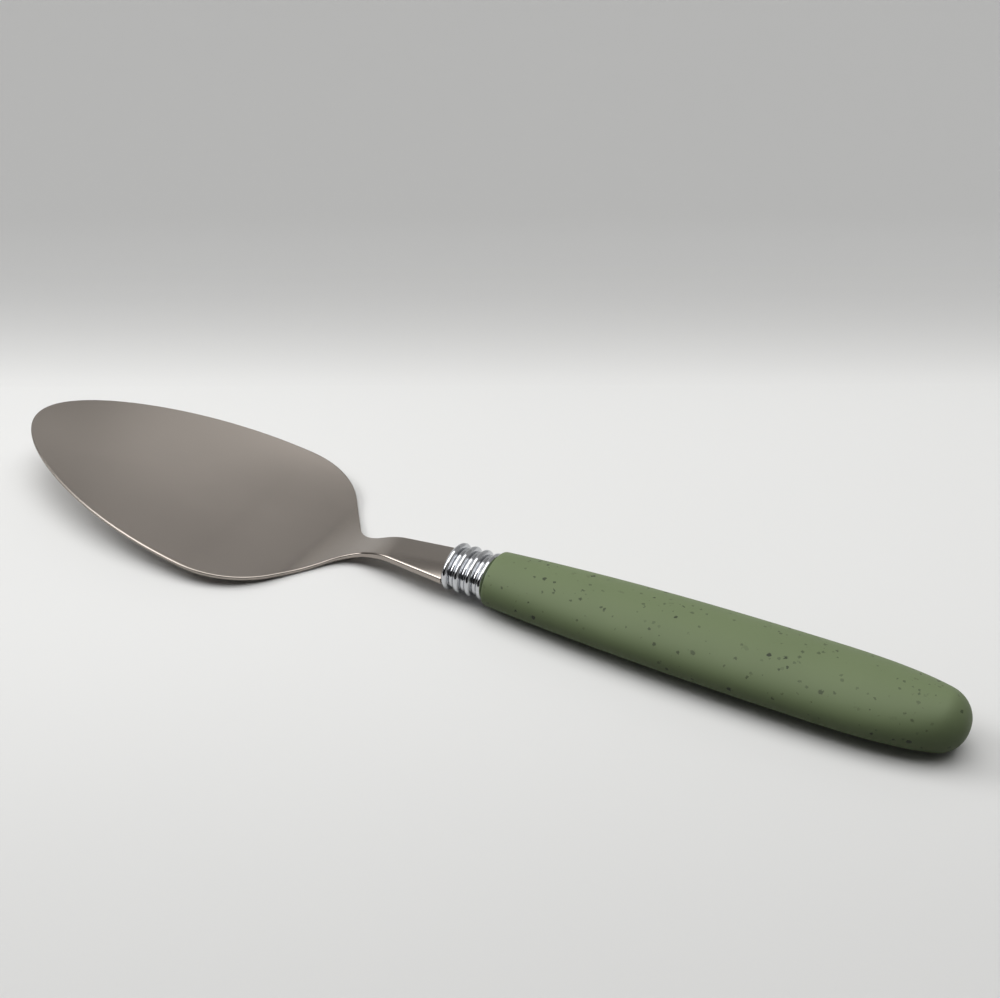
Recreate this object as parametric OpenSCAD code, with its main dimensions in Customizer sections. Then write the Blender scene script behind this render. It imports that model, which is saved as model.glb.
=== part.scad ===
// Cake server: a shallow steel blade on a cranked neck, a ringed chrome ferrule and an oval handle.
// X runs from the blade's tip to the handle's end, Y runs across, Z is up from the table.
// The origin lies on the table, halfway along the server.

/* [Blade] */
// Length of the blade from its tip to the root of the neck
blade_len = 105; // [85:1:125]
// Greatest width of the blade
blade_w = 62.5; // [50:0.5:74]
// Thickness of the blade's sheet
blade_t = 1.1; // [1:0.1:1.5]
// Rounding of the edges of the blade and neck
edge_r = 0.4; // [0.2:0.05:0.45]
// Height of the tip's upper edge above the table
tip_rise = 15.4; // [13:0.2:22]
// Height of the blade's upper edge above the table at the root of the neck, before the neck lifts it
root_rise = 0.25; // [0.25:0.05:1.5]
// Depth of the dish between the rims at the widest place
dish_depth = 1.2; // [0.4:0.1:1.4]
// Distance from the widest place back to the root of the neck
widest_back = 32; // [30:0.5:40]
// Radius of the rounded shoulders in plan
shoulder_r = 27; // [18:0.5:29]

/* [Neck] */
// Length of the neck from its root to the ferrule
neck_len = 32.8; // [28:0.2:45]
// Width of the neck at its waist
waist_w = 8; // [6:0.5:10]
// Distance from the root of the neck to its waist
waist_run = 7.5; // [7:0.5:10]
// Radius of the hollow corners between the blade and the neck
fillet_r = 11; // [6:0.5:12]
// Width of the neck where it meets the ferrule
neck_end_w = 14.4; // [12:0.2:14.6]
// Thickness of the neck where it meets the ferrule
neck_end_t = 1.8; // [1.7:0.1:2.6]
// Distance of the middle of the neck under the handle's axis, where the neck meets the ferrule
neck_drop = 0.5; // [0:0.05:0.8]
// Rise of the neck from its root to the ferrule, beyond the sweep
neck_climb = 0.75; // [0:0.05:2]
// Rise of the middle of the neck's upper face above its edges, at the ferrule
crown_rise = 0.9; // [0:0.1:1.4]
// Distance before the root at which the blade starts to sweep up into the neck
sweep_back = 8.5; // [7:0.5:10]
// Distance behind the root at which the sweep has come up to the neck's line
sweep_run = 15.5; // [12:0.5:24]
// Distance before the root at which the blade starts to thicken
thicken_back = 4; // [2:0.5:6]
// Distance behind the root at which the neck has its full thickness
thicken_run = 14; // [4:0.5:20]

/* [Tang] */
// Width of the flat tang
tang_w = 6; // [4:0.5:7]
// Thickness of the flat tang
tang_t = 1.6; // [1.2:0.1:1.8]
// Length of the tang inside the handle
tang_reach = 70; // [40:1:85]

/* [Ferrule] */
// Length of the ferrule
ferrule_len = 12.2; // [9:0.1:15]
// Width over the large rings
ring_w = 14.6; // [13.6:0.1:15.8]
// Height over the large rings
ring_t = 11.5; // [10.5:0.1:12.2]
// Height of the large rings above the grooves
ring_h = 1.4; // [0.8:0.1:1.6]
// Height of the thin rings above the grooves
thin_h = 0.6; // [0.2:0.1:0.8]
// Distance from one large ring to the next
ring_pitch = 3.32; // [2.8:0.02:4.5]

/* [Handle] */
// Length of the handle
handle_len = 120; // [100:0.5:140]
// Width of the handle at its front face
front_w = 16.6; // [15.8:0.1:19]
// Thickness of the handle at its front face
front_t = 13.2; // [12.4:0.1:14]
// Rounding of the edge round the front face
front_r = 0.5; // [0.3:0.1:1.2]
// Greatest width of the handle
belly_w = 24.9; // [20:0.1:29]
// Greatest thickness of the handle
belly_t = 14.4; // [13.4:0.1:16]
// Distance from the front face to the widest place
belly_run = 84; // [60:1:90]
// Length over which the end narrows in plan
nose_len = 36; // [24:0.5:44]
// Length over which the end rounds off in thickness
nose_drop_len = 6; // [4:0.5:10]
// Diameter of the blind bore for the tang
bore_d = 8; // [7.5:0.1:9]

/* [Fits] */
// Gap between the tang and the slot through the ferrule
slot_gap = 0.15; // [0.1:0.05:0.4]
// Gap round the cement that fills the bore
bond_gap = 0.05; // [0.02:0.01:0.1]
// Thickness of the cement beyond the end of the tang
plug_t = 2; // [1:0.5:4]

/* [Hidden] */
$fn = 64;

// How far a cut runs past the face that it opens
overrun = 1;
// Least distance of a ring's station from the ferrule's faces
edge_gap = 0.05;
// How deep the tang is rooted in the neck
tang_root = 3;

// How much the front of the blade is drawn in from an ellipse towards its tip
tip_draw_share = 0.13;
// Powers of the dish across the blade and of the handle's swell
dish_power = 2.5;
swell_power = 2.5;
// Powers of the handle's rounded end, in plan and in thickness
nose_power = 2.5;
drop_power = 2;
// Power by which the dish grows shallow where the blade is narrow
fade_power = 3;
// Half widths of a large and of a thin ring, as shares of the pitch
ring_share = 0.3;
thin_share = 1 / 2 - ring_share;
// How much of the first ring the ferrule's front face cuts away, as a share of the pitch
front_cut_share = 0.06;

total_len = blade_len + neck_len + ferrule_len + handle_len;
tip_x = -total_len / 2;
root_x = tip_x + blade_len;
widest_x = root_x - widest_back;
waist_x = root_x + waist_run;
ferrule_x = root_x + neck_len;
handle_x = ferrule_x + ferrule_len;
end_x = handle_x + handle_len;
axis_z = front_t / 2;
tang_z = axis_z - neck_drop;
neck_top_z = tang_z + neck_end_t / 2;
bore_len = tang_reach + plug_t;

// Number of stations along the front and rear of the blade, and of points across it
front_steps = 16;
rear_steps = 36;
across = 9;

// Stations along the handle's swell and nose, and points round it
swell_steps = 16;
nose_steps = 12;
corner_steps = 3;
round_steps = 40;

// Stations over a large and a thin ring of the ferrule
ring_steps = 10;
thin_steps = 6;

// Plan of the blade: the shoulder arc and the hollow corner arc share one slanted tangent.
shoulder_y = blade_w / 2 - shoulder_r;
hollow_y = waist_w / 2 + fillet_r;
arc_dx = waist_x - widest_x;
arc_dy = hollow_y - shoulder_y;
tangent_a = atan2(arc_dy, arc_dx) + acos((shoulder_r + fillet_r) / norm([arc_dx, arc_dy]));
shoulder_end_x = widest_x + shoulder_r * cos(tangent_a);
shoulder_end_y = shoulder_y + shoulder_r * sin(tangent_a);
hollow_start_x = waist_x - fillet_r * cos(tangent_a);

function ease(t) = let (s = min(max(t, 0), 1)) s * s * (3 - 2 * s);

function blend(a, b, t) = a + (b - a) * t;

// Half width of the blade and neck at x
function egg(x) =
    let (c = (widest_x - x) / (widest_x - tip_x))
    blade_w / 2 * sqrt(max(0, 1 - c * c)) * (1 - tip_draw_share * c * c);

function shoulder(x) = shoulder_y + sqrt(shoulder_r * shoulder_r - pow(x - widest_x, 2));

function slant(x) = shoulder_end_y - (x - shoulder_end_x) / tan(tangent_a);

function hollow(x) = hollow_y - sqrt(fillet_r * fillet_r - pow(waist_x - x, 2));

function flare(x) = blend(waist_w, neck_end_w, (x - waist_x) / (ferrule_x - waist_x)) / 2;

function half_w(x) =
    x < widest_x ? egg(x)
    : x < shoulder_end_x ? shoulder(x)
    : x < hollow_start_x ? slant(x)
    : x < waist_x ? hollow(x)
    : flare(x);

// Height of the upper edge: a straight slope from the tip that sweeps up into the neck's line
function edge_z(x) =
    let (
        slope_z = blend(tip_rise, root_rise, (x - tip_x) / blade_len),
        neck_z = blend(neck_top_z - neck_climb, neck_top_z, (x - root_x) / neck_len)
    )
    blend(slope_z, neck_z, ease((x - root_x + sweep_back) / (sweep_back + sweep_run)));

function sheet_t(x) =
    blend(blade_t, neck_end_t, ease((x - root_x + thicken_back) / (thicken_back + thicken_run)));

function dish(x, y) =
    let (w = half_w(x))
    w < edge_r ? 0
    : dish_depth * pow(2 * w / blade_w, fade_power) * (1 - pow(min(1, abs(y) / w), dish_power));

// How far the middle of the neck stands above its edges, growing towards the ferrule
function crown(x, y) =
    let (t = min(max((x - waist_x) / (ferrule_x - waist_x), 0), 1))
    crown_rise * t * t * (1 - pow(min(1, abs(y) / half_w(max(x, waist_x))), 2));

// Stations from the tip to the ferrule
station_x = concat(
    [for (i = [0 : front_steps]) tip_x + (widest_x - tip_x) * (1 - cos(90 * i / front_steps))],
    [for (i = [1 : rear_steps]) blend(widest_x, ferrule_x, i / rear_steps)]
);
last_station = len(station_x) - 1;

// Outward direction of the outline in plan at station i
function outline_normal(i) =
    i == 0 ? [-1, 0]
    : i == last_station ? [0, 1]
    : let (
        a = station_x[i - 1],
        b = station_x[i + 1],
        d = [half_w(a) - half_w(b), b - a]
    ) d / norm(d);

// One closed ring of points across the blade: upper row from +Y to -Y, edge, lower row back, edge
function blade_ring(i) =
    let (
        x = station_x[i],
        w = half_w(x),
        n = outline_normal(i),
        inner_x = x - edge_r * n[0],
        inner_w = max(0, w - edge_r * n[1]),
        row = [for (k = [0 : across - 1]) inner_w * (1 - 2 * k / (across - 1))],
        top_z = edge_z(x),
        low_z = top_z - sheet_t(x)
    )
    concat(
        [for (y = row) [inner_x, y, edge_z(inner_x) - dish(inner_x, y) + crown(inner_x, y)]],
        [[x, -w, top_z - edge_r], [x, -w, low_z + edge_r]],
        [for (y = row) [inner_x, -y, edge_z(inner_x) - dish(inner_x, y) - sheet_t(inner_x)]],
        [[x, w, low_z + edge_r], [x, w, top_z - edge_r]]
    );

ring_size = 2 * across + 4;

// The ring at the tip shrinks to four points, one for each side of the ring.
function tip_point(j) = j < across ? 0 : j == across ? 1 : j == across + 1 ? 2 : j < ring_size - 2 ? 3
    : j == ring_size - 2 ? 2 : 1;

function blade_id(i, j) =
    let (k = j % ring_size)
    i == 0 ? tip_point(k) : 4 + (i - 1) * ring_size + k;

function distinct(f) = f[0] != f[1] && f[1] != f[2] && f[2] != f[0];

module blade_body() {
    tip = blade_ring(0);
    points = concat(
        [tip[0], tip[across], tip[across + 1], tip[across + 2]],
        [for (i = [1 : last_station]) each blade_ring(i)]
    );
    sides = [
        for (i = [0 : last_station - 1], j = [0 : ring_size - 1])
            each [
                [blade_id(i, j), blade_id(i + 1, j + 1), blade_id(i, j + 1)],
                [blade_id(i, j), blade_id(i + 1, j), blade_id(i + 1, j + 1)]
            ]
    ];
    heel = [for (j = [ring_size - 1 : -1 : 0]) blade_id(last_station, j)];
    polyhedron(points, concat([for (f = sides) if (distinct(f)) f], [heel]));
}

// A flat bar in line with the neck, from the neck into the handle
module tang_bar(start_x, stop_x, gap) {
    width = tang_w + 2 * gap;
    thickness = tang_t + 2 * gap;
    translate([start_x, -width / 2, tang_z - thickness / 2])
        cube([stop_x - start_x, width, thickness]);
}

// A solid of the server's round pieces, turned from Z to lie along X
module along_axis(start_x) {
    translate([start_x, 0, axis_z])
        rotate([0, 90, 0])
            children();
}

// One closed ring of points round an oval across the axis, with a flat on each side and underneath
function oval(x, half, depth, mid_z) =
    [for (k = [0 : round_steps - 1])
        let (a = 360 * (k + 1 / 2) / round_steps, grow = 1 / cos(180 / round_steps))
        [x, grow * half * cos(a), mid_z + grow * depth * sin(a)]];

function oval_id(i, k) = i * round_steps + k % round_steps;

// The faces between one oval and the next, from the first to the last
function oval_sides(last) = [
    for (i = [0 : last - 1], k = [0 : round_steps - 1])
        each [
            [oval_id(i, k), oval_id(i + 1, k + 1), oval_id(i, k + 1)],
            [oval_id(i, k), oval_id(i + 1, k), oval_id(i + 1, k + 1)]
        ]
];

// Stations over one rounded ring: how many pitches along it lies, and how high above the groove
function hump(middle_share, share, height, steps) =
    [for (i = [0 : steps - 1])
        let (t = 180 * i / steps - 90)
        [middle_share + share * sin(t), height * cos(t)]];

// A large ring and the thin ring behind it
ring_pair = concat(
    hump(ring_share, ring_share, ring_h, ring_steps),
    hump(2 * ring_share + thin_share, thin_share, thin_h, thin_steps)
);

// Height of the rings above the groove at a distance along the pitch
function ring_rise(share) =
    share < 2 * ring_share ? ring_h * sqrt(max(0, 1 - pow(share / ring_share - 1, 2)))
    : thin_h * sqrt(max(0, 1 - pow((share - 2 * ring_share) / thin_share - 1, 2)));

front_cut = front_cut_share * ring_pitch;
rear_share = (ferrule_len + front_cut) / ring_pitch;

// Stations of the whole ferrule, cut off by its two flat faces
ring_stations = concat(
    [[0, ring_rise(front_cut_share)]],
    [for (i = [0 : floor(rear_share)], s = ring_pair)
        let (d = (i + s[0]) * ring_pitch - front_cut)
        if (d > edge_gap && d < ferrule_len - edge_gap) [d, s[1]]],
    [[ferrule_len, ring_rise(rear_share - floor(rear_share))]]
);
last_rise = len(ring_stations) - 1;

module ring_body() {
    points = [for (s = ring_stations)
        each oval(ferrule_x + s[0], ring_w / 2 - ring_h + s[1], ring_t / 2 - ring_h + s[1], axis_z)];
    front = [for (k = [0 : round_steps - 1]) oval_id(0, k)];
    rear = [for (k = [round_steps - 1 : -1 : 0]) oval_id(last_rise, k)];
    polyhedron(points, concat([front], oval_sides(last_rise), [rear]));
}

// Half width and half thickness of the handle at a distance from its front face
function swell(front, belly, d) = blend(front, belly, 1 - pow(max(0, 1 - d / belly_run), swell_power)) / 2;

function nose(d, length, power) =
    let (s = max(0, (d - handle_len + length) / length))
    pow(max(0, 1 - pow(s, power)), 1 / power);

function corner(d) =
    let (s = max(0, 1 - d / front_r))
    front_r * (1 - sqrt(max(0, 1 - s * s)));

function handle_ring(d) =
    let (
        half = swell(front_w, belly_w, d) * nose(d, nose_len, nose_power) - corner(d),
        mid_z = swell(front_t, belly_t, d),
        depth = mid_z * nose(d, nose_drop_len, drop_power) - corner(d)
    )
    oval(handle_x + d, half, depth, mid_z);

// Distances of the handle's rings from its front face, closer together at both ends
handle_d = concat(
    [for (i = [0 : corner_steps]) front_r * (1 - cos(90 * i / corner_steps))],
    [for (i = [1 : swell_steps]) blend(front_r, handle_len - nose_len, i / swell_steps)],
    [for (i = [1 : nose_steps - 1]) handle_len - nose_len * (1 - sin(90 * i / nose_steps))]
);
last_ring = len(handle_d) - 1;

module handle_body() {
    points = concat([for (d = handle_d) each handle_ring(d)], [[end_x, 0, belly_t / 2]]);
    pole = len(points) - 1;
    face = [for (k = [0 : round_steps - 1]) oval_id(0, k)];
    cap = [for (k = [0 : round_steps - 1]) [oval_id(last_ring, k + 1), oval_id(last_ring, k), pole]];
    polyhedron(points, concat([face], oval_sides(last_ring), cap));
}

module blade() {
    color([0.6, 0.58, 0.56])
        union() {
            blade_body();
            tang_bar(ferrule_x - tang_root, handle_x + tang_reach, 0);
        }
}

module ferrule() {
    color([0.85, 0.86, 0.88])
        difference() {
            ring_body();
            tang_bar(ferrule_x - overrun, handle_x + overrun, slot_gap);
        }
}

module handle() {
    color([0.42, 0.49, 0.38])
        difference() {
            handle_body();
            along_axis(handle_x - overrun)
                cylinder(d = bore_d, h = bore_len + overrun);
        }
}

module tang_cement() {
    color([0.78, 0.74, 0.66])
        difference() {
            along_axis(handle_x)
                cylinder(d = bore_d - 2 * bond_gap, h = bore_len - bond_gap);
            tang_bar(handle_x - overrun, handle_x + tang_reach + bond_gap, bond_gap);
        }
}

blade();
ferrule();
handle();
tang_cement();
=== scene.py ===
"""Looks of a cake server: satin steel blade, ringed chrome ferrule, speckled resin handle.

Sizes of the pieces are in millimetres, as in the part's source, and become metres when a mesh is made.
X runs from the blade's tip to the handle's end, Y runs across, Z is up from the table.
The stage and its lights are in metres.
"""
import math

import bmesh
import bpy
from mathutils import Matrix, Vector


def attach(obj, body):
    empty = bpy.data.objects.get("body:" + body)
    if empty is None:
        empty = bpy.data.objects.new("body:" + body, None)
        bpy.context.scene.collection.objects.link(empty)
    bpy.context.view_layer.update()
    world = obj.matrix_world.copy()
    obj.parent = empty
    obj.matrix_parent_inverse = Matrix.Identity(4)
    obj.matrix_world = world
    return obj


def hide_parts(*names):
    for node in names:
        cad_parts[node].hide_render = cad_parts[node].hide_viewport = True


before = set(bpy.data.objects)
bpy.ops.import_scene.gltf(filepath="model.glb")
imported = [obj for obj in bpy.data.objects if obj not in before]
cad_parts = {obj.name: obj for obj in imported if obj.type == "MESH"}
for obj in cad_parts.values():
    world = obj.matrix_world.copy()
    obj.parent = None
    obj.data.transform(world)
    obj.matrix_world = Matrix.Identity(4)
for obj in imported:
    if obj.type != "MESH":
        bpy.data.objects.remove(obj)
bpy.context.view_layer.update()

MM = 0.001

# Limits for a clean mesh
WELD_GAP = 0.001
SLIVER_GAP = 0.0005
CREASE_DEGREES = 50.0

# Blade
BLADE_LEN = 105.0
BLADE_W = 62.5
BLADE_T = 1.1
EDGE_R = 0.4
TIP_RISE = 15.4
ROOT_RISE = 0.25
DISH_DEPTH = 1.2
WIDEST_BACK = 32.0
SHOULDER_R = 27.0
TIP_DRAW_SHARE = 0.13
DISH_POWER = 2.5
FADE_POWER = 3.0

# Neck and tang
NECK_EDGE_R = 0.55
CROWN_RISE = 0.9
CROWN_POWER = 2.0
NECK_LEN = 32.8
WAIST_W = 8.0
WAIST_RUN = 7.5
FILLET_R = 11.0
NECK_END_W = 14.4
NECK_END_T = 1.8
NECK_DROP = 0.5
NECK_CLIMB = 0.75
SWEEP_BACK = 8.5
SWEEP_RUN = 15.5
THICKEN_BACK = 4.0
THICKEN_RUN = 14.0
TANG_W = 6.0
TANG_T = 1.6
TANG_REACH = 70.0

# Ferrule
FERRULE_LEN = 12.2
RING_W = 14.6
RING_T = 11.5
RING_H = 1.4
THIN_H = 0.6
RING_PITCH = 3.32
RING_SHARE = 0.3
THIN_SHARE = 0.2
FRONT_CUT_SHARE = 0.06
SLOT_GAP = 0.15

# Handle
HANDLE_LEN = 120.0
FRONT_W = 16.6
FRONT_T = 13.2
FRONT_R = 0.5
BELLY_W = 24.9
BELLY_T = 14.4
BELLY_RUN = 84.0
SWELL_POWER = 2.5
NOSE_LEN = 36.0
NOSE_POWER = 2.5
NOSE_DROP_LEN = 6.0
NOSE_DROP_POWER = 2.0
BORE_D = 8.0
PLUG_T = 2.0

# Places along the server
TOTAL_LEN = BLADE_LEN + NECK_LEN + FERRULE_LEN + HANDLE_LEN
TIP_X = -TOTAL_LEN / 2
ROOT_X = TIP_X + BLADE_LEN
WIDEST_X = ROOT_X - WIDEST_BACK
WAIST_X = ROOT_X + WAIST_RUN
FERRULE_X = ROOT_X + NECK_LEN
HANDLE_X = FERRULE_X + FERRULE_LEN
AXIS_Z = FRONT_T / 2
TANG_Z = AXIS_Z - NECK_DROP
NECK_TOP_Z = TANG_Z + NECK_END_T / 2

# Camera, fitted to a picture 1000 wide and 998 high
IMAGE_W = 1000.0
IMAGE_H = 998.0
FOCAL_PX = 1497.5
CAMERA_ELEVATION = 33.59
CAMERA_AZIMUTH = 28.43
CAMERA_ROLL = 0.18
AIM_POINT = (0.0, 0.0, 10.0)
AIM_PX = (444.4, 551.5)
AIM_DEPTH = 384.6
SENSOR_W = 36.0
NEAREST_SEEN = 10.0


def ease(t):
    s = min(max(t, 0.0), 1.0)
    return s * s * (3 - 2 * s)


def blend(a, b, t):
    return a + (b - a) * t


def to_metres(points):
    return [tuple(c * MM for c in p) for p in points]


def quarter_turn(steps):
    """Angles from 0 to 90 degrees."""
    return [math.pi / 2 * k / steps for k in range(steps + 1)]


def skin(name, rings):
    """A closed smooth skin over rings of equally many points; a ring may shrink to one place."""
    count = len(rings[0])
    points = [p for ring in rings for p in ring]
    faces = []
    for i in range(len(rings) - 1):
        here = i * count
        there = here + count
        for j in range(count):
            k = (j + 1) % count
            faces.append((here + j, here + k, there + k, there + j))
    mesh = bpy.data.meshes.new(name)
    mesh.from_pydata(to_metres(points), [], faces)
    return finish_mesh(name, mesh)


def finish_mesh(name, mesh):
    """Closes seams and poles, turns the faces outwards, smooths them and links the object."""
    work = bmesh.new()
    work.from_mesh(mesh)
    bmesh.ops.remove_doubles(work, verts=work.verts, dist=WELD_GAP * MM)
    bmesh.ops.dissolve_degenerate(work, edges=work.edges, dist=SLIVER_GAP * MM)
    bmesh.ops.recalc_face_normals(work, faces=work.faces)
    work.to_mesh(mesh)
    work.free()
    for face in mesh.polygons:
        face.use_smooth = True
    mesh.set_sharp_from_angle(angle=math.radians(CREASE_DEGREES))
    piece = bpy.data.objects.new(name, mesh)
    bpy.context.scene.collection.objects.link(piece)
    return piece


# Blade: the shoulder arc and the hollow corner arc of the plan share one slanted tangent.
SHOULDER_Y = BLADE_W / 2 - SHOULDER_R
HOLLOW_Y = WAIST_W / 2 + FILLET_R
ARC_DX = WAIST_X - WIDEST_X
ARC_DY = HOLLOW_Y - SHOULDER_Y
ARC_SPAN = math.hypot(ARC_DX, ARC_DY)
TANGENT_A = math.atan2(ARC_DY, ARC_DX) + math.acos((SHOULDER_R + FILLET_R) / ARC_SPAN)
SHOULDER_END_X = WIDEST_X + SHOULDER_R * math.cos(TANGENT_A)
SHOULDER_END_Y = SHOULDER_Y + SHOULDER_R * math.sin(TANGENT_A)
HOLLOW_START_X = WAIST_X - FILLET_R * math.cos(TANGENT_A)

# Points round a ring of the blade, rings along it, and the step that finds its outline's direction
ACROSS = 56
RIM_STEPS = 7
FRONT_STATIONS = 90
REAR_STATIONS = 160
NORMAL_STEP = 0.05


def half_width(x):
    """Half width of the blade and neck."""
    if x < WIDEST_X:
        c = (WIDEST_X - x) / (WIDEST_X - TIP_X)
        return BLADE_W / 2 * math.sqrt(max(0.0, 1 - c * c)) * (1 - TIP_DRAW_SHARE * c * c)
    if x < SHOULDER_END_X:
        return SHOULDER_Y + math.sqrt(SHOULDER_R**2 - (x - WIDEST_X) ** 2)
    if x < HOLLOW_START_X:
        return SHOULDER_END_Y - (x - SHOULDER_END_X) / math.tan(TANGENT_A)
    if x < WAIST_X:
        return HOLLOW_Y - math.sqrt(FILLET_R**2 - (WAIST_X - x) ** 2)
    return blend(WAIST_W, NECK_END_W, (x - WAIST_X) / (FERRULE_X - WAIST_X)) / 2


def edge_z(x):
    """Height of the upper edge: a straight slope that sweeps up into the neck's line."""
    slope_z = blend(TIP_RISE, ROOT_RISE, (x - TIP_X) / BLADE_LEN)
    neck_z = blend(NECK_TOP_Z - NECK_CLIMB, NECK_TOP_Z, (x - ROOT_X) / NECK_LEN)
    return blend(slope_z, neck_z, ease((x - ROOT_X + SWEEP_BACK) / (SWEEP_BACK + SWEEP_RUN)))


def sheet_t(x):
    return blend(BLADE_T, NECK_END_T, ease((x - ROOT_X + THICKEN_BACK) / (THICKEN_BACK + THICKEN_RUN)))


def dish(x, y):
    w = half_width(x)
    if w < EDGE_R:
        return 0.0
    return DISH_DEPTH * (2 * w / BLADE_W) ** FADE_POWER * (1 - min(1.0, abs(y) / w) ** DISH_POWER)


def crown(x, y):
    """How far the middle of the neck's top stands above its edges, growing towards the ferrule."""
    t = min(max((x - WAIST_X) / (FERRULE_X - WAIST_X), 0.0), 1.0)
    across = min(1.0, abs(y) / half_width(max(x, WAIST_X)))
    return CROWN_RISE * t * t * (1 - across**CROWN_POWER)


def rim_r(x):
    return blend(EDGE_R, NECK_EDGE_R, ease((x - ROOT_X) / WAIST_RUN))


def outline_normal(x):
    """Outward direction of the outline in plan, on the +Y side."""
    if x <= TIP_X:
        return -1.0, 0.0
    step = min(NORMAL_STEP, (x - TIP_X) / 2)
    run = half_width(x - step) - half_width(min(x + step, FERRULE_X))
    length = math.hypot(run, 2 * step)
    return run / length, 2 * step / length


def blade_ring(x):
    """One ring across the blade: upper row from +Y to -Y, round rim, lower row back, round rim."""
    w = half_width(x)
    nx, ny = outline_normal(x)

    def at(inward, side):
        return x - nx * inward, side * max(0.0, w - ny * inward)

    def upper(px, py, drop):
        return px, py, edge_z(px) - dish(px, py) + crown(px, py) - drop

    def lower(px, py, rise):
        return px, py, edge_z(px) - dish(px, py) - sheet_t(px) + rise

    def rim(radius):
        bends = quarter_turn(RIM_STEPS)[1:]
        return [(radius * (1 - math.sin(a)), radius * (1 - math.cos(a))) for a in bends]

    shares = [math.cos(math.pi * k / ACROSS) for k in range(ACROSS + 1)]
    top_x, top_y = at(rim_r(x), 1)
    low_x, low_y = at(EDGE_R, 1)
    top = [upper(top_x, top_y * share, 0.0) for share in shares]
    bottom = [lower(low_x, -low_y * share, 0.0) for share in shares]
    near_top = [upper(*at(i, -1), d) for i, d in rim(rim_r(x))]
    near_low = [lower(*at(i, -1), d) for i, d in reversed(rim(EDGE_R))]
    far_low = [lower(*at(i, 1), d) for i, d in rim(EDGE_R)]
    far_top = [upper(*at(i, 1), d) for i, d in reversed(rim(rim_r(x)))]
    return top + near_top + near_low + bottom + far_low + far_top


def tang_ring(x, share):
    """A ring with the blade's count of points round the flat tang, or round a smaller copy of it."""
    points = []
    for _, py, pz in blade_ring(FERRULE_X):
        across = min(max(py / (NECK_END_W / 2), -1.0), 1.0)
        above = min(max((pz - TANG_Z) / (NECK_END_T / 2), -1.0), 1.0)
        points.append((x, across * TANG_W / 2 * share, TANG_Z + above * TANG_T / 2 * share))
    return points


def blade_stations():
    front = [blend(TIP_X, WIDEST_X, 1 - math.cos(a)) for a in quarter_turn(FRONT_STATIONS)]
    rear = [blend(WIDEST_X, FERRULE_X, i / REAR_STATIONS) for i in range(1, REAR_STATIONS + 1)]
    return front + rear


def make_blade():
    rings = [blade_ring(x) for x in blade_stations()]
    tang_end = HANDLE_X + TANG_REACH
    rings += [tang_ring(FERRULE_X, 1.0), tang_ring(tang_end, 1.0), tang_ring(tang_end, 0.0)]
    return skin("blade_and_neck", rings)


# Handle: points round a ring, and rings along the lip, the body and the nose
ROUND = 144
LIP_STATIONS = 8
BODY_STATIONS = 80
NOSE_STATIONS = 60


def swell(front, belly, d):
    return blend(front, belly, 1 - max(0.0, 1 - d / BELLY_RUN) ** SWELL_POWER) / 2


def nose(d, length, power):
    s = max(0.0, (d - HANDLE_LEN + length) / length)
    return max(0.0, 1 - s**power) ** (1 / power)


def corner(d):
    s = max(0.0, 1 - d / FRONT_R)
    return FRONT_R * (1 - math.sqrt(max(0.0, 1 - s * s)))


def oval(x, half, depth, middle_z):
    angles = [2 * math.pi * k / ROUND for k in range(ROUND)]
    return [(x, half * math.cos(a), middle_z + depth * math.sin(a)) for a in angles]


def handle_ring(d):
    middle_z = swell(FRONT_T, BELLY_T, d)
    half = swell(FRONT_W, BELLY_W, d) * nose(d, NOSE_LEN, NOSE_POWER) - corner(d)
    depth = middle_z * nose(d, NOSE_DROP_LEN, NOSE_DROP_POWER) - corner(d)
    return oval(HANDLE_X + d, half, depth, middle_z)


def make_handle():
    bore_end = HANDLE_X + TANG_REACH + PLUG_T
    rings = [
        oval(bore_end, 0.0, 0.0, AXIS_Z),
        oval(bore_end, BORE_D / 2, BORE_D / 2, AXIS_Z),
        oval(HANDLE_X, BORE_D / 2, BORE_D / 2, AXIS_Z),
    ]
    nose_start = HANDLE_LEN - NOSE_LEN
    places = [FRONT_R * (1 - math.cos(a)) for a in quarter_turn(LIP_STATIONS)]
    places += [blend(FRONT_R, nose_start, i / BODY_STATIONS) for i in range(1, BODY_STATIONS + 1)]
    places += [HANDLE_LEN - NOSE_LEN * (1 - math.sin(a)) for a in quarter_turn(NOSE_STATIONS)[1:]]
    rings += [handle_ring(d) for d in places]
    return skin("speckled_handle", rings)


def add_node(tree, kind, inputs=None, **settings):
    """Adds a node; each input is a value or the socket that feeds it."""
    node = tree.nodes.new(kind)
    for key, value in settings.items():
        setattr(node, key, value)
    for key, value in (inputs or {}).items():
        if isinstance(value, bpy.types.NodeSocket):
            tree.links.new(value, node.inputs[key])
        else:
            node.inputs[key].default_value = value
    return node


def sums(tree):
    """Returns a function that writes one sum as a Math node and gives back its result."""

    def sum_node(operation, *values):
        return add_node(tree, "ShaderNodeMath", dict(enumerate(values)), operation=operation).outputs[0]

    return sum_node


# Ferrule: a grid wrapped round the axis as an oval, swelling into rings, closed through the tang's slot
RING_ROWS = 360
SLOT_ROWS = 3
LEAST_LEAN = 0.001
RING_INPUTS = {
    "Front X": FERRULE_X * MM,
    "Length": FERRULE_LEN * MM,
    "Axis Z": AXIS_Z * MM,
    "Pitch": RING_PITCH * MM,
    "Ring Height": RING_H * MM,
    "Thin Height": THIN_H * MM,
    "Groove Half Width": (RING_W / 2 - RING_H) * MM,
    "Groove Half Height": (RING_T / 2 - RING_H) * MM,
    "Slot Half Width": (TANG_W / 2 + SLOT_GAP) * MM,
    "Slot Half Height": (TANG_T / 2 + SLOT_GAP) * MM,
    "Slot Drop": NECK_DROP * MM,
}


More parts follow.
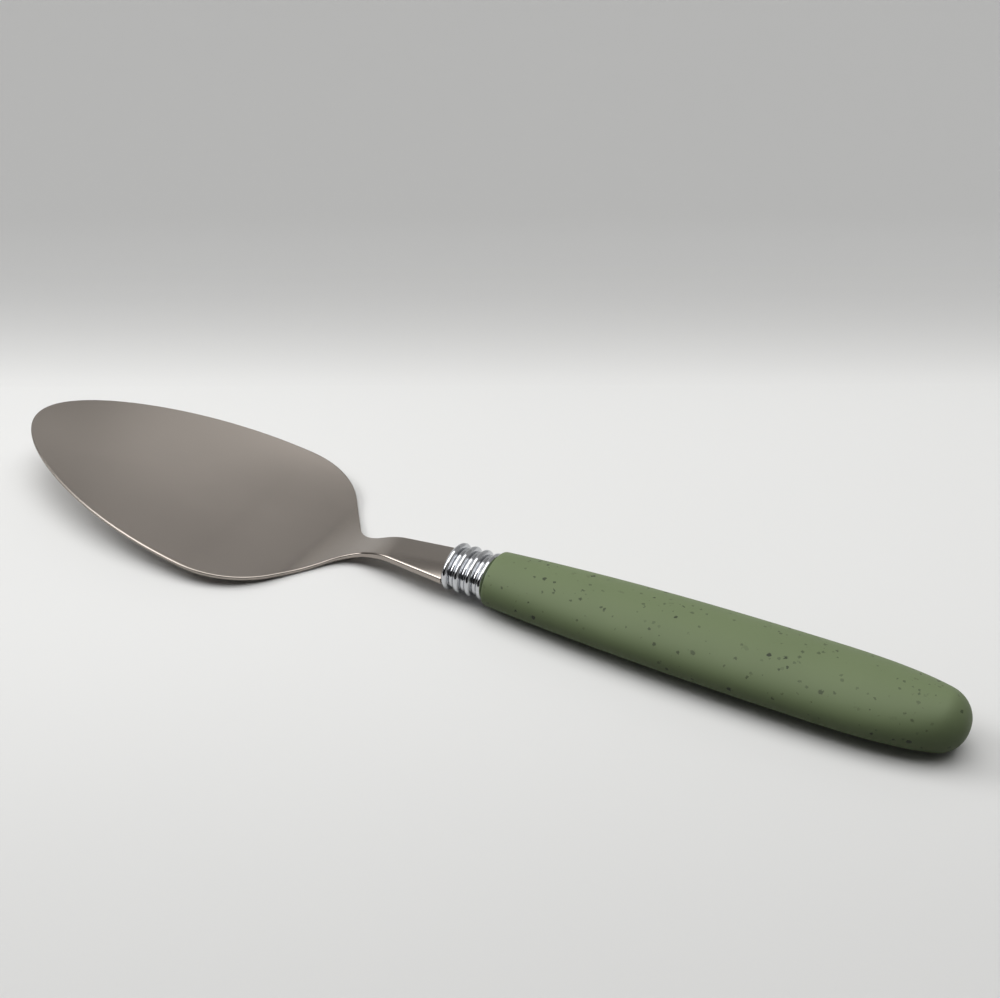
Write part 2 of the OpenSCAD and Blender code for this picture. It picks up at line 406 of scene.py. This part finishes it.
def ring_tree():
    tree = bpy.data.node_groups.new("ringed_ferrule_shape", "GeometryNodeTree")
    tree.interface.new_socket("Geometry", in_out="OUTPUT", socket_type="NodeSocketGeometry")
    for name in RING_INPUTS:
        tree.interface.new_socket(name, in_out="INPUT", socket_type="NodeSocketFloat")
    tree.interface.new_socket("Material", in_out="INPUT", socket_type="NodeSocketMaterial")
    given = tree.nodes.new("NodeGroupInput").outputs
    sum_of = sums(tree)

    rows = RING_ROWS + SLOT_ROWS
    grid = add_node(
        tree,
        "GeometryNodeMeshGrid",
        {"Size X": 1.0, "Size Y": 1.0, "Vertices X": rows, "Vertices Y": ROUND + 1},
    )
    position = tree.nodes.new("GeometryNodeInputPosition").outputs[0]
    place = add_node(tree, "ShaderNodeSeparateXYZ", {0: position})
    row = sum_of("MULTIPLY", sum_of("ADD", place.outputs["X"], 0.5), rows - 1)
    angle = sum_of("MULTIPLY", sum_of("ADD", place.outputs["Y"], 0.5), 2 * math.pi)
    sine, cosine = sum_of("SINE", angle), sum_of("COSINE", angle)

    # The first and the last two rows are the slot's rings; of these only the middle one is at the rear.
    in_slot = sum_of("ADD", sum_of("LESS_THAN", row, 0.5), sum_of("GREATER_THAN", row, RING_ROWS + 0.5))
    rear_slot = sum_of("COMPARE", row, RING_ROWS + 1, 0.5)
    along = sum_of("DIVIDE", sum_of("SUBTRACT", row, 1.0), RING_ROWS - 1)

    # Two humps to a pitch: a large ring and the thin ring behind it
    pitches = sum_of("DIVIDE", sum_of("MULTIPLY", along, given["Length"]), given["Pitch"])
    share = sum_of("FRACT", sum_of("ADD", pitches, FRONT_CUT_SHARE))

    def hump(middle, half, height):
        across = sum_of("DIVIDE", sum_of("SUBTRACT", share, middle), half)
        left = sum_of("MAXIMUM", sum_of("SUBTRACT", 1.0, sum_of("MULTIPLY", across, across)), 0.0)
        return sum_of("MULTIPLY", sum_of("SQRT", left), height)

    large = hump(RING_SHARE, RING_SHARE, given["Ring Height"])
    thin = hump(2 * RING_SHARE + THIN_SHARE, THIN_SHARE, given["Thin Height"])
    rise = sum_of("ADD", large, thin)

    def slot_side(half, lean):
        return sum_of("DIVIDE", half, sum_of("MAXIMUM", sum_of("ABSOLUTE", lean), LEAST_LEAN))

    slot_r = sum_of(
        "MINIMUM",
        slot_side(given["Slot Half Width"], sine),
        slot_side(given["Slot Half Height"], cosine),
    )

    def either(slot_value, ring_value):
        change = sum_of("SUBTRACT", slot_value, ring_value)
        return sum_of("ADD", ring_value, sum_of("MULTIPLY", in_slot, change))

    reach = sum_of("MULTIPLY", given["Length"], either(rear_slot, along))
    half = either(slot_r, sum_of("ADD", given["Groove Half Width"], rise))
    depth = either(slot_r, sum_of("ADD", given["Groove Half Height"], rise))
    middle_z = sum_of("SUBTRACT", given["Axis Z"], sum_of("MULTIPLY", in_slot, given["Slot Drop"]))
    moved = add_node(
        tree,
        "ShaderNodeCombineXYZ",
        {
            "X": sum_of("ADD", given["Front X"], reach),
            "Y": sum_of("MULTIPLY", sum_of("MULTIPLY", half, sine), -1.0),
            "Z": sum_of("ADD", middle_z, sum_of("MULTIPLY", depth, cosine)),
        },
    )
    shaped = add_node(
        tree,
        "GeometryNodeSetPosition",
        {"Geometry": grid.outputs["Mesh"], "Position": moved.outputs[0]},
    )
    closed = add_node(
        tree,
        "GeometryNodeMergeByDistance",
        {"Geometry": shaped.outputs[0], "Distance": WELD_GAP * MM},
    )
    real = add_node(tree, "GeometryNodeRealizeInstances", {"Geometry": closed.outputs[0]})
    painted = add_node(
        tree,
        "GeometryNodeSetMaterial",
        {"Geometry": real.outputs[0], "Material": given["Material"]},
    )
    add_node(tree, "NodeGroupOutput", {"Geometry": painted.outputs[0]})
    return tree


def make_ferrule(chrome):
    tree = ring_tree()
    blank = bpy.data.objects.new("ferrule_blank", bpy.data.meshes.new("ferrule_blank"))
    turning = blank.modifiers.new("turning", "NODES")
    turning.node_group = tree
    for item in tree.interface.items_tree:
        if item.in_out == "INPUT":
            turning[item.identifier] = chrome if item.name == "Material" else RING_INPUTS[item.name]
    bpy.context.scene.collection.objects.link(blank)
    shaped = blank.evaluated_get(bpy.context.evaluated_depsgraph_get())
    mesh = bpy.data.meshes.new_from_object(shaped)
    blank.modifiers.remove(turning)
    bpy.data.objects.remove(blank)
    return finish_mesh("ringed_ferrule", mesh)


# Colours and surfaces of the finishes, with depths in millimetres
STEEL = (0.336, 0.302, 0.272)
BLADE_ROUGH = 0.20
NECK_ROUGH = 0.13
GRAIN_ROUGH = 0.04
GRAIN_PER_METRE = (60.0, 900.0, 900.0)
GRAIN_DETAIL = 2.0
GRAIN_DEPTH = 0.001
GRAIN_STRENGTH = 0.05
CHROME = (0.55, 0.56, 0.58)
CHROME_ROUGH = 0.07
SAGE = (0.155, 0.20, 0.10)
SPECK = (0.016, 0.020, 0.012)
RESIN_ROUGH = 0.58
RESIN_SHINE = 0.3
RESIN_DEPTH = 0.01
RESIN_STRENGTH = 0.3
CEMENT = (0.54, 0.48, 0.37)
CEMENT_ROUGH = 0.8
PAPER_ROUGH = 0.9

# Uneven tones: patches per metre and how far the tone wanders
MOTTLE_DETAIL = 3.0
STEEL_CLOUD = (45.0, 0.10)
CHROME_CLOUD = (300.0, 0.06)
CHROME_HAZE = (900.0, 0.5)
RESIN_CLOUD = (60.0, 0.16)
RESIN_SKIN = (1500.0, 0.3)
CEMENT_CLOUD = (700.0, 0.4)
PAPER_CLOUD = (6.0, 0.04)

# Specks: the radius is a share of the spacing, and the raggedness is in metres
LARGE_SPECKS = dict(
    Per_Metre=290.0, Radius=0.22, Share=0.75, Ragged=0.0011, Faintest=0.40, Darkest=0.88
)
SMALL_SPECKS = dict(
    Per_Metre=460.0, Radius=0.27, Share=0.9, Ragged=0.0008, Faintest=0.20, Darkest=0.72
)
SMUDGES = dict(
    Per_Metre=190.0, Radius=0.20, Share=0.8, Ragged=0.003, Faintest=0.08, Darkest=0.26
)
RAGS_PER_SPECK = 5.0
RAG_DETAIL = 2.0
SMALLEST_SHARE = 0.4
SOLID_SHARE = 0.6
CLUSTERS_PER_METRE = 70.0
CLUSTER_DETAIL = 1.0
THIN_PLACES = 0.35
FULL_PLACES = 0.62
THIN_SHARE_OF_SPECKS = 0.3
FULL_SHARE_OF_SPECKS = 1.4


def new_group(name, inputs, outputs):
    group = bpy.data.node_groups.new(name, "ShaderNodeTree")
    for label, kind in inputs.items():
        group.interface.new_socket(label, in_out="INPUT", socket_type=kind)
    for label, kind in outputs.items():
        group.interface.new_socket(label, in_out="OUTPUT", socket_type=kind)
    return group, group.nodes.new("NodeGroupInput").outputs, group.nodes.new("NodeGroupOutput").inputs


def mottle_group():
    """Soft uneven tone: a value about 1 that wanders by the given amount."""
    group, given, out = new_group(
        "mottle",
        {"Vector": "NodeSocketVector", "Scale": "NodeSocketFloat", "Amount": "NodeSocketFloat"},
        {"Tone": "NodeSocketFloat"},
    )
    sum_of = sums(group)
    noise = add_node(
        group,
        "ShaderNodeTexNoise",
        {"Vector": given["Vector"], "Scale": given["Scale"], "Detail": MOTTLE_DETAIL},
    )
    swing = sum_of("MULTIPLY", sum_of("SUBTRACT", noise.outputs[0], 0.5), given["Amount"])
    group.links.new(sum_of("ADD", swing, 1.0), out["Tone"])
    return group


def speck_group():
    """Small irregular specks in loose clusters, some of them deep and faint: a mask from 0 to 1."""
    group, given, out = new_group(
        "specks",
        {
            "Vector": "NodeSocketVector",
            "Per Metre": "NodeSocketFloat",
            "Radius": "NodeSocketFloat",
            "Share": "NodeSocketFloat",
            "Ragged": "NodeSocketFloat",
            "Faintest": "NodeSocketFloat",
            "Darkest": "NodeSocketFloat",
        },
        {"Mask": "NodeSocketFloat"},
    )
    sum_of = sums(group)
    rag_scale = sum_of("MULTIPLY", given["Per Metre"], RAGS_PER_SPECK)
    rag = add_node(
        group,
        "ShaderNodeTexNoise",
        {"Vector": given["Vector"], "Scale": rag_scale, "Detail": RAG_DETAIL},
    )
    centred = add_node(
        group,
        "ShaderNodeVectorMath",
        {0: rag.outputs["Color"], 1: (0.5, 0.5, 0.5)},
        operation="SUBTRACT",
    )
    shift = add_node(
        group,
        "ShaderNodeVectorMath",
        {0: centred.outputs[0], "Scale": given["Ragged"]},
        operation="SCALE",
    )
    place = add_node(
        group,
        "ShaderNodeVectorMath",
        {0: given["Vector"], 1: shift.outputs[0]},
        operation="ADD",
    )
    cells = add_node(
        group,
        "ShaderNodeTexVoronoi",
        {"Vector": place.outputs[0], "Scale": given["Per Metre"], "Randomness": 1.0},
    )
    chance = add_node(group, "ShaderNodeSeparateColor", {0: cells.outputs["Color"]})
    growth = sum_of("MULTIPLY", chance.outputs[0], 1 - SMALLEST_SHARE)
    radius = sum_of("MULTIPLY", given["Radius"], sum_of("ADD", growth, SMALLEST_SHARE))
    dot = add_node(
        group,
        "ShaderNodeMapRange",
        {
            "Value": cells.outputs["Distance"],
            "From Min": radius,
            "From Max": sum_of("MULTIPLY", radius, SOLID_SHARE),
            "To Min": 0.0,
            "To Max": 1.0,
        },
        interpolation_type="SMOOTHSTEP",
    )
    crowd = add_node(
        group,
        "ShaderNodeTexNoise",
        {"Vector": given["Vector"], "Scale": CLUSTERS_PER_METRE, "Detail": CLUSTER_DETAIL},
    )
    crowded = add_node(
        group,
        "ShaderNodeMapRange",
        {
            "Value": crowd.outputs[0],
            "From Min": THIN_PLACES,
            "From Max": FULL_PLACES,
            "To Min": THIN_SHARE_OF_SPECKS,
            "To Max": FULL_SHARE_OF_SPECKS,
        },
    )
    share = sum_of("MULTIPLY", given["Share"], crowded.outputs[0])
    there = sum_of("LESS_THAN", chance.outputs[1], share)
    depth = add_node(
        group,
        "ShaderNodeMapRange",
        {"Value": chance.outputs[2], "To Min": given["Faintest"], "To Max": given["Darkest"]},
    )
    shown = sum_of("MULTIPLY", dot.outputs[0], there)
    group.links.new(sum_of("MULTIPLY", shown, depth.outputs[0]), out["Mask"])
    return group


def place_group(tree, group, **inputs):
    """Places a shared group and gives back its result; an underscore in an input's name is a space."""
    named = {label.replace("_", " "): value for label, value in inputs.items()}
    return add_node(tree, "ShaderNodeGroup", named, node_tree=group).outputs[0]


def uneven(tree, mottle, where, look):
    """A tone about 1, with patches per metre and an amount."""
    scale, amount = look
    return place_group(tree, mottle, Vector=where, Scale=scale, Amount=amount)


def new_material(name, **constants):
    material = bpy.data.materials.new(name)
    material.use_nodes = True
    tree = material.node_tree
    surface = tree.nodes["Principled BSDF"]
    for label, value in constants.items():
        surface.inputs[label.replace("_", " ")].default_value = value
    where = tree.nodes.new("ShaderNodeTexCoord").outputs["Object"]
    return material, tree, surface, where


def tinted(tree, colour, tone):
    """The colour, lighter or darker by a tone about 1."""
    mix = add_node(
        tree,
        "ShaderNodeMix",
        {"Factor": 1.0, 6: (*colour, 1.0), 7: tone},
        data_type="RGBA",
        blend_type="MULTIPLY",
    )
    return mix.outputs[2]


def mixed(tree, share, first, second):
    """The first colour, going over to the second as the share grows to 1."""
    mix = add_node(tree, "ShaderNodeMix", {0: share, 6: first, 7: second}, data_type="RGBA")
    return mix.outputs[2]


def distance_along(tree, where, direction):
    node = add_node(tree, "ShaderNodeVectorMath", {0: where, 1: direction}, operation="DOT_PRODUCT")
    return node.outputs["Value"]


def ramp(tree, value, low, high, start, stop):
    """A soft change from start to stop while the value goes from low to high."""
    node = add_node(
        tree,
        "ShaderNodeMapRange",
        {"Value": value, "From Min": low, "From Max": high, "To Min": start, "To Max": stop},
        interpolation_type="SMOOTHSTEP",
    )
    return node.outputs[0]


def bump(tree, surface, height, depth, strength):
    node = add_node(tree, "ShaderNodeBump", {"Height": height, "Distance": depth, "Strength": strength})
    tree.links.new(node.outputs[0], surface.inputs["Normal"])


def satin_steel(mottle):
    material, tree, surface, where = new_material("satin_steel", Metallic=1.0)
    sum_of = sums(tree)
    stretched = add_node(tree, "ShaderNodeMapping", {"Vector": where, "Scale": GRAIN_PER_METRE})
    noise = add_node(
        tree,
        "ShaderNodeTexNoise",
        {"Vector": stretched.outputs[0], "Scale": 1.0, "Detail": GRAIN_DETAIL},
    )
    grain = noise.outputs[0]
    cloud = uneven(tree, mottle, where, STEEL_CLOUD)
    tree.links.new(tinted(tree, STEEL, cloud), surface.inputs["Base Color"])
    place = add_node(tree, "ShaderNodeSeparateXYZ", {0: where})
    polish = ramp(tree, place.outputs["X"], ROOT_X * MM, WAIST_X * MM, BLADE_ROUGH, NECK_ROUGH)
    rough = sum_of("ADD", sum_of("MULTIPLY", grain, GRAIN_ROUGH), polish)
    tree.links.new(rough, surface.inputs["Roughness"])
    bump(tree, surface, grain, GRAIN_DEPTH * MM, GRAIN_STRENGTH)
    return material


def polished_chrome(mottle):
    material, tree, surface, where = new_material("polished_chrome", Metallic=1.0)
    cloud = uneven(tree, mottle, where, CHROME_CLOUD)
    tree.links.new(tinted(tree, CHROME, cloud), surface.inputs["Base Color"])
    haze = uneven(tree, mottle, where, CHROME_HAZE)
    tree.links.new(sums(tree)("MULTIPLY", haze, CHROME_ROUGH), surface.inputs["Roughness"])
    return material


def speckled_resin(mottle, specks):
    material, tree, surface, where = new_material("speckled_resin", Specular_IOR_Level=RESIN_SHINE)
    sum_of = sums(tree)
    base = tinted(tree, SAGE, uneven(tree, mottle, where, RESIN_CLOUD))
    large = place_group(tree, specks, Vector=where, **LARGE_SPECKS)
    small = place_group(tree, specks, Vector=where, **SMALL_SPECKS)
    smudges = place_group(tree, specks, Vector=where, **SMUDGES)
    mask = sum_of("MAXIMUM", sum_of("MAXIMUM", large, small), smudges)
    tree.links.new(mixed(tree, mask, base, (*SPECK, 1.0)), surface.inputs["Base Color"])
    skin_tone = uneven(tree, mottle, where, RESIN_SKIN)
    tree.links.new(sum_of("MULTIPLY", skin_tone, RESIN_ROUGH), surface.inputs["Roughness"])
    bump(tree, surface, skin_tone, RESIN_DEPTH * MM, RESIN_STRENGTH)
    return material


def hard_cement(mottle):
    material, tree, surface, where = new_material("hard_cement", Roughness=CEMENT_ROUGH)
    cloud = uneven(tree, mottle, where, CEMENT_CLOUD)
    tree.links.new(tinted(tree, CEMENT, cloud), surface.inputs["Base Color"])
    return material


# Stage
def camera_axes():
    """Right, down and forward of the camera, in the part's frame."""
    a, e, roll = (math.radians(d) for d in (CAMERA_AZIMUTH, CAMERA_ELEVATION, CAMERA_ROLL))
    right = Vector((math.cos(a), math.sin(a), 0.0))
    forward = Vector((-math.sin(a) * math.cos(e), math.cos(a) * math.cos(e), -math.sin(e)))
    down = forward.cross(right)
    turned_right = math.cos(roll) * right + math.sin(roll) * down
    turned_down = math.cos(roll) * down - math.sin(roll) * right
    return turned_right, turned_down, forward


def camera_heading():
    """Level directions to the right of the view and away from the camera."""
    a = math.radians(CAMERA_AZIMUTH)
    return Vector((math.cos(a), math.sin(a), 0.0)), Vector((-math.sin(a), math.cos(a), 0.0))


def as_seen(across, depth, height):
    """A place right of the view, away from the camera and up, in the part's frame."""
    right, away = camera_heading()
    return right * across + away * depth + Vector((0, 0, height))


def make_camera():
    right, down, forward = camera_axes()
    across = (AIM_PX[0] - IMAGE_W / 2) / FOCAL_PX * AIM_DEPTH
    below = (AIM_PX[1] - IMAGE_H / 2) / FOCAL_PX * AIM_DEPTH
    eye = Vector(AIM_POINT) - across * right - below * down - AIM_DEPTH * forward
    data = bpy.data.cameras.new("camera")
    data.sensor_width = SENSOR_W
    data.sensor_fit = "HORIZONTAL"
    data.lens = SENSOR_W * FOCAL_PX / IMAGE_W
    data.clip_start = NEAREST_SEEN * MM
    camera = bpy.data.objects.new("camera", data)
    turn = Matrix((right, -down, -forward)).transposed()
    camera.matrix_world = Matrix.Translation(eye * MM) @ turn.to_4x4()
    bpy.context.scene.collection.objects.link(camera)
    bpy.context.scene.camera = camera


# Paper floor and wall: painted shade darkens the paper towards the camera, the wall shows a painted
# glow, and only metal mirrors the wall's painted strip of sheen
FLOOR_HALF = 4.0
FLOOR_DROP = 0.00002
WALL_HALF = 0.9
WALL_FOOT = 0.105
WALL_TOP = 0.112
COVE_R = 0.04
COVE_STEPS = 16
PAPER_COLOUR = (0.80, 0.80, 0.79)
BOUNCE_COLOUR = (0.15, 0.15, 0.14)
# Painted shade: towards the camera the paper darkens to this tone, standing in for light that falls off
PAINTED_SHADE_EDGE = -0.16
PAINTED_SHADE_TONE = 0.84
# Painted light: the wall glows by itself, more towards the top of the cove
WALL_PAINTED_GLOW = 0.31
# Painted reflection: a strip of the wall that glows only in what metal mirrors, and where it fades in
# and out
WALL_PAINTED_SHEEN = 0.24
PAINTED_SHEEN_LEFT = (-0.12, -0.09)
PAINTED_SHEEN_RIGHT = (-0.07, -0.03)


def sheet_object(name, points, faces):
    mesh = bpy.data.meshes.new(name)
    mesh.from_pydata(points, [], faces)
    for face in mesh.polygons:
        face.use_smooth = True
    sheet = bpy.data.objects.new(name, mesh)
    bpy.context.scene.collection.objects.link(sheet)
    return sheet


def paper(name, mottle):
    """White paper that throws less light on the object than it shows, with painted shade that darkens
    it towards the camera; from behind it is clear.
    """
    material, tree, surface, where = new_material(name, Roughness=PAPER_ROUGH)
    sum_of = sums(tree)
    tone = uneven(tree, mottle, where, PAPER_CLOUD)
    ray = tree.nodes.new("ShaderNodeLightPath").outputs
    seen = sum_of("MAXIMUM", ray["Is Camera Ray"], ray["Is Glossy Ray"])
    away = camera_heading()[1]
    # Painted shade: the paper's colour darkens towards the camera
    painted_falloff = ramp(tree, distance_along(tree, where, away), PAINTED_SHADE_EDGE, 0.0, PAINTED_SHADE_TONE, 1.0)
    shown = tinted(tree, PAPER_COLOUR, sum_of("MULTIPLY", tone, painted_falloff))
    tree.links.new(mixed(tree, seen, (*BOUNCE_COLOUR, 1.0), shown), surface.inputs["Base Color"])
    behind = tree.nodes.new("ShaderNodeNewGeometry").outputs["Backfacing"]
    clear = tree.nodes.new("ShaderNodeBsdfTransparent").outputs[0]
    sheet = add_node(tree, "ShaderNodeMixShader", {0: behind, 1: surface.outputs[0], 2: clear})
    tree.links.new(sheet.outputs[0], tree.nodes["Material Output"].inputs["Surface"])
    return material, tree, surface, where


def make_floor(mottle):
    square = ((-1, -1), (1, -1), (1, 1), (-1, 1))
    corners = [(x * FLOOR_HALF, y * FLOOR_HALF, -FLOOR_DROP) for x, y in square]
    floor = sheet_object("floor", corners, [(0, 1, 2, 3)])
    material, *_ = paper("floor_paper", mottle)
    floor.data.materials.append(material)


def make_wall(mottle):
    """A paper wall behind the object, curved at its foot; it shows a painted glow that grows up the
    cove, and a painted strip of sheen that only metal mirrors.
    """
    bends = quarter_turn(COVE_STEPS)
    profile = [(WALL_FOOT + COVE_R * math.sin(a), COVE_R * (1 - math.cos(a))) for a in bends]
    profile.append((WALL_FOOT + COVE_R, WALL_TOP))
    points = [as_seen(side * WALL_HALF, *place) for place in profile for side in (-1, 1)]
    faces = [(2 * k, 2 * k + 1, 2 * k + 3, 2 * k + 2) for k in range(len(profile) - 1)]
    wall = sheet_object("wall", points, faces)
    wall.visible_shadow = False

    material, tree, surface, where = paper("wall_paper", mottle)
    sum_of = sums(tree)
    height = add_node(tree, "ShaderNodeSeparateXYZ", {0: where}).outputs["Z"]
    # Painted light: the wall's own glow, growing from the foot of the cove upwards
    painted_glow = ramp(tree, height, 0.0, COVE_R, 0.0, WALL_PAINTED_GLOW)
    across = distance_along(tree, where, camera_heading()[0])
    # Painted reflection: a strip across the wall that glows only for rays mirrored by metal
    painted_sheen = sum_of(
        "SUBTRACT",
        ramp(tree, across, *PAINTED_SHEEN_LEFT, 0.0, WALL_PAINTED_SHEEN),
        ramp(tree, across, *PAINTED_SHEEN_RIGHT, 0.0, WALL_PAINTED_SHEEN),
    )
    in_metal = tree.nodes.new("ShaderNodeLightPath").outputs["Is Glossy Ray"]
    light = sum_of("ADD", painted_glow, sum_of("MULTIPLY", painted_sheen, in_metal))
    tree.links.new(light, surface.inputs["Emission Color"])
    surface.inputs["Emission Strength"].default_value = 1.0
    wall.data.materials.append(material)


# Softboxes: places as the camera sees them, width and height, and watts
TOP_SOFTBOX = dict(place=(0.04, 0.10, 1.35), size=(1.6, 1.25), power=13.4)
WINDOW_SOFTBOX = dict(place=(-1.20, 0.50, 0.84), size=(0.75, 0.60), power=11.0, on_metal=False)
SIDE_SOFTBOX = dict(place=(-0.62, -0.10, 0.60), size=(0.30, 0.55), power=2.2, on_paint=False)


def make_softbox(name, place, size, power, on_paint=True, on_metal=True):
    """A soft light turned towards the object.

    It may be left out of what lights paint and paper, or of what metal mirrors.
    """
    spot = as_seen(*place)
    data = bpy.data.lights.new(name, "AREA")
    data.shape = "RECTANGLE"
    data.size, data.size_y = size
    data.energy = power
    lamp = bpy.data.objects.new(name, data)
    lamp.location = spot
    lamp.visible_diffuse = on_paint
    lamp.visible_glossy = on_metal
    lamp.rotation_euler = spot.to_track_quat("Z", "Y").to_euler()
    bpy.context.scene.collection.objects.link(lamp)


# Room light: its tint and strength, and its strength in front for paint and for metal
ROOM_TINT = (1.0, 0.995, 0.985, 1.0)
ROOM_LIGHT = 0.34
FRONT_FILL = 0.02
FRONT_SHEEN = 0.24
FRONT_SIDE = (-0.15, 0.2)
FRONT_TOP = (0.75, 0.9)

# Round patches that only metal mirrors, with the angles of their full and faded parts in degrees
BACK_CARD = dict(aim=(-0.12, 0.52, 0.846), full=4.0, faded=13.0, light=1.8)
LEFT_CARD = dict(aim=(-0.63, 0.0, 0.777), full=18.0, faded=27.0, light=1.6)
DARK_SIDE = dict(aim=(-0.76, -0.57, 0.25), full=40.0, faded=58.0, light=-0.23)


def make_world():
    """Even room light, dim in front; metal also shows two pale cards and a dark place on the left."""
    world = bpy.data.worlds.new("room")
    bpy.context.scene.world = world
    world.use_nodes = True
    tree = world.node_tree
    sum_of = sums(tree)
    towards = add_node(tree, "ShaderNodeTexCoord").outputs["Generated"]
    height = add_node(tree, "ShaderNodeSeparateXYZ", {0: towards}).outputs["Z"]
    nearness = distance_along(tree, towards, -camera_heading()[1])

    def patch(aim, full, faded, light):
        middle = distance_along(tree, towards, as_seen(*aim).normalized())
        rim, heart = (math.cos(math.radians(angle)) for angle in (faded, full))
        return ramp(tree, middle, rim, heart, 0.0, light)

    ray = add_node(tree, "ShaderNodeLightPath").outputs
    front = sum_of(
        "MULTIPLY",
        ramp(tree, nearness, *FRONT_SIDE, 0.0, 1.0),
        ramp(tree, height, *FRONT_TOP, 1.0, 0.0),
    )
    dim = sum_of(
        "ADD",
        sum_of("MULTIPLY", ray["Is Diffuse Ray"], FRONT_FILL - ROOM_LIGHT),
        sum_of("MULTIPLY", ray["Is Glossy Ray"], FRONT_SHEEN - ROOM_LIGHT),
    )
    room = sum_of("ADD", ROOM_LIGHT, sum_of("MULTIPLY", front, dim))
    cards = sum_of("ADD", patch(**BACK_CARD), patch(**LEFT_CARD))
    mirrored = sum_of("ADD", cards, patch(**DARK_SIDE))
    metal = sum_of("MULTIPLY", mirrored, ray["Is Glossy Ray"])
    back = tree.nodes["Background"]
    back.inputs["Color"].default_value = ROOM_TINT
    tree.links.new(sum_of("ADD", room, metal), back.inputs["Strength"])


def dress(piece, material, node):
    piece.data.materials.clear()
    piece.data.materials.append(material)
    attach(piece, "root")
    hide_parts(node)


def main():
    mottle = mottle_group()
    chrome = polished_chrome(mottle)
    dress(make_blade(), satin_steel(mottle), "blade")
    dress(make_ferrule(chrome), chrome, "ferrule")
    dress(make_handle(), speckled_resin(mottle, speck_group()), "handle")
    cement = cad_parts["tang_cement"].data.materials
    cement.clear()
    cement.append(hard_cement(mottle))

    make_floor(mottle)
    make_wall(mottle)
    make_softbox("top_softbox", **TOP_SOFTBOX)
    make_softbox("window_softbox", **WINDOW_SOFTBOX)
    make_softbox("side_softbox", **SIDE_SOFTBOX)
    make_world()
    make_camera()
    bpy.context.scene.view_settings.view_transform = "Standard"


main()
